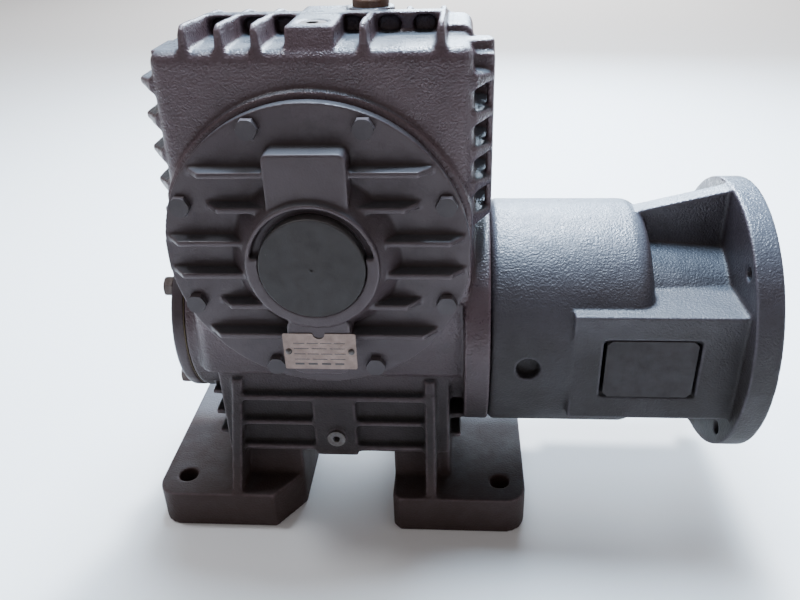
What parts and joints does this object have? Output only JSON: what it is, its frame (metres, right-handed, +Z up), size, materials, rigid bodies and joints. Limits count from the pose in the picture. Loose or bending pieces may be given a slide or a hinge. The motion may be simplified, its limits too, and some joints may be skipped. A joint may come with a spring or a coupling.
{
  "type": "worm gearbox",
  "caption": "Foot-mounted worm gearbox with a ribbed cast case, a round bolted cover, a solid output shaft and a flanged motor adapter.",
  "frame": {"origin": "middle of the four foot bolts, on the plane the feet stand on", "axes": "+X along the worm towards the motor flange, +Y along the output shaft away from the closed cover, +Z up"},
  "size_m": [0.6558, 0.3865, 0.6215],
  "materials": {
    "painted_housing": "grey paint over rough sand-cast iron, grimy in the corners",
    "painted_cover": "grey paint over cast iron, satin",
    "painted_adapter": "bluish silver-grey gloss paint over bumpy cast iron",
    "painted_bolts": "bolts painted with the case, worn at the corners",
    "painted_cap": "smooth pressed steel under grey paint",
    "rusty_bolts": "brown, oily, lightly rusted steel",
    "rusty_steel": "dull rusty forged steel",
    "plate_aluminium": "thin satin sheet, scratched",
    "plug_steel": "dull zinc-plated steel",
    "gasket_paper": "pressed fibre gasket",
    "shim_brass": "thin brass shim",
    "seal_rubber": "black nitrile rubber",
    "wheel_bronze": "machined bronze",
    "bare_iron": "machined grey iron",
    "ground_steel": "ground steel",
    "black_steel": "black oxide steel",
    "bearing_steel": "polished bearing steel"
  },
  "bodies": {
    "case": {"housing": "painted_housing", "front_cover": "painted_cover", "front_cover_gasket": "gasket_paper", "front_cover_bolts": "painted_bolts", "closing_cap": "painted_cap", "nameplate": "plate_aluminium", "nameplate_rivets": "plug_steel", "rear_cover": "painted_cover", "rear_cover_gasket": "gasket_paper", "rear_cover_bolts": "painted_bolts", "output_seal": "seal_rubber", "worm_end_cover": "painted_cover", "worm_end_shim": "shim_brass", "worm_end_cover_bolts": "rusty_bolts", "input_seal_carrier": "ground_steel", "input_seal": "seal_rubber", "input_carrier_screws": "black_steel", "motor_adapter": "painted_adapter", "adapter_bolts": "black_steel", "window_plate": "painted_adapter", "eyebolt": "rusty_steel", "filler_plug": "plug_steel", "drain_plug": "plug_steel", "level_plug": "plug_steel", "front_output_bearing_outer_ring": "bearing_steel", "rear_output_bearing_outer_ring": "bearing_steel", "left_worm_bearing_outer_ring": "bearing_steel", "right_worm_bearing_outer_ring": "bearing_steel"},
    "output": {"output_shaft": "ground_steel", "worm_wheel_rim": "wheel_bronze", "worm_wheel_hub": "bare_iron", "wheel_key": "ground_steel", "front_spacer": "ground_steel", "rear_spacer": "ground_steel", "shaft_circlip": "black_steel", "front_output_bearing_inner_ring": "bearing_steel", "rear_output_bearing_inner_ring": "bearing_steel"},
    "worm": {"worm_shaft": "ground_steel", "worm_locknut": "black_steel", "coupling_hub_gear_side": "bare_iron", "coupling_spider": "seal_rubber", "coupling_hub_motor_side": "bare_iron", "left_worm_bearing_inner_ring": "bearing_steel", "right_worm_bearing_inner_ring": "bearing_steel"},
    "front_output_bearing_cage": {"front_output_bearing_balls_and_cage": "bearing_steel"},
    "rear_output_bearing_cage": {"rear_output_bearing_balls_and_cage": "bearing_steel"},
    "left_worm_bearing_cage": {"left_worm_bearing_balls_and_cage": "bearing_steel"},
    "right_worm_bearing_cage": {"right_worm_bearing_balls_and_cage": "bearing_steel"}
  },
  "joints": [
    {"name": "output_spin", "type": "hinge", "parent": "case", "child": "output", "pos_m": [0, 0, 0.35], "axis": [0, 1, 0], "continuous": true},
    {"name": "worm_spin", "type": "hinge", "parent": "case", "child": "worm", "pos_m": [0, 0, 0.225], "axis": [1, 0, 0], "continuous": true},
    {"name": "front_output_bearing_cage_spin", "type": "hinge", "parent": "case", "child": "front_output_bearing_cage", "pos_m": [0, -0.112, 0.35], "axis": [0, 1, 0], "continuous": true},
    {"name": "rear_output_bearing_cage_spin", "type": "hinge", "parent": "case", "child": "rear_output_bearing_cage", "pos_m": [0, 0.092, 0.35], "axis": [0, 1, 0], "continuous": true},
    {"name": "left_worm_bearing_cage_spin", "type": "hinge", "parent": "case", "child": "left_worm_bearing_cage", "pos_m": [-0.132, 0, 0.225], "axis": [1, 0, 0], "continuous": true},
    {"name": "right_worm_bearing_cage_spin", "type": "hinge", "parent": "case", "child": "right_worm_bearing_cage", "pos_m": [0.135, 0, 0.225], "axis": [1, 0, 0], "continuous": true}
  ],
  "couplings": [
    {"joint": "worm_spin", "follows": "output_spin", "ratio": 40},
    {"joint": "front_output_bearing_cage_spin", "follows": "output_spin", "ratio": 0.41176},
    {"joint": "rear_output_bearing_cage_spin", "follows": "output_spin", "ratio": 0.41176},
    {"joint": "left_worm_bearing_cage_spin", "follows": "output_spin", "ratio": 15.304},
    {"joint": "right_worm_bearing_cage_spin", "follows": "output_spin", "ratio": 15.304}
  ]
}
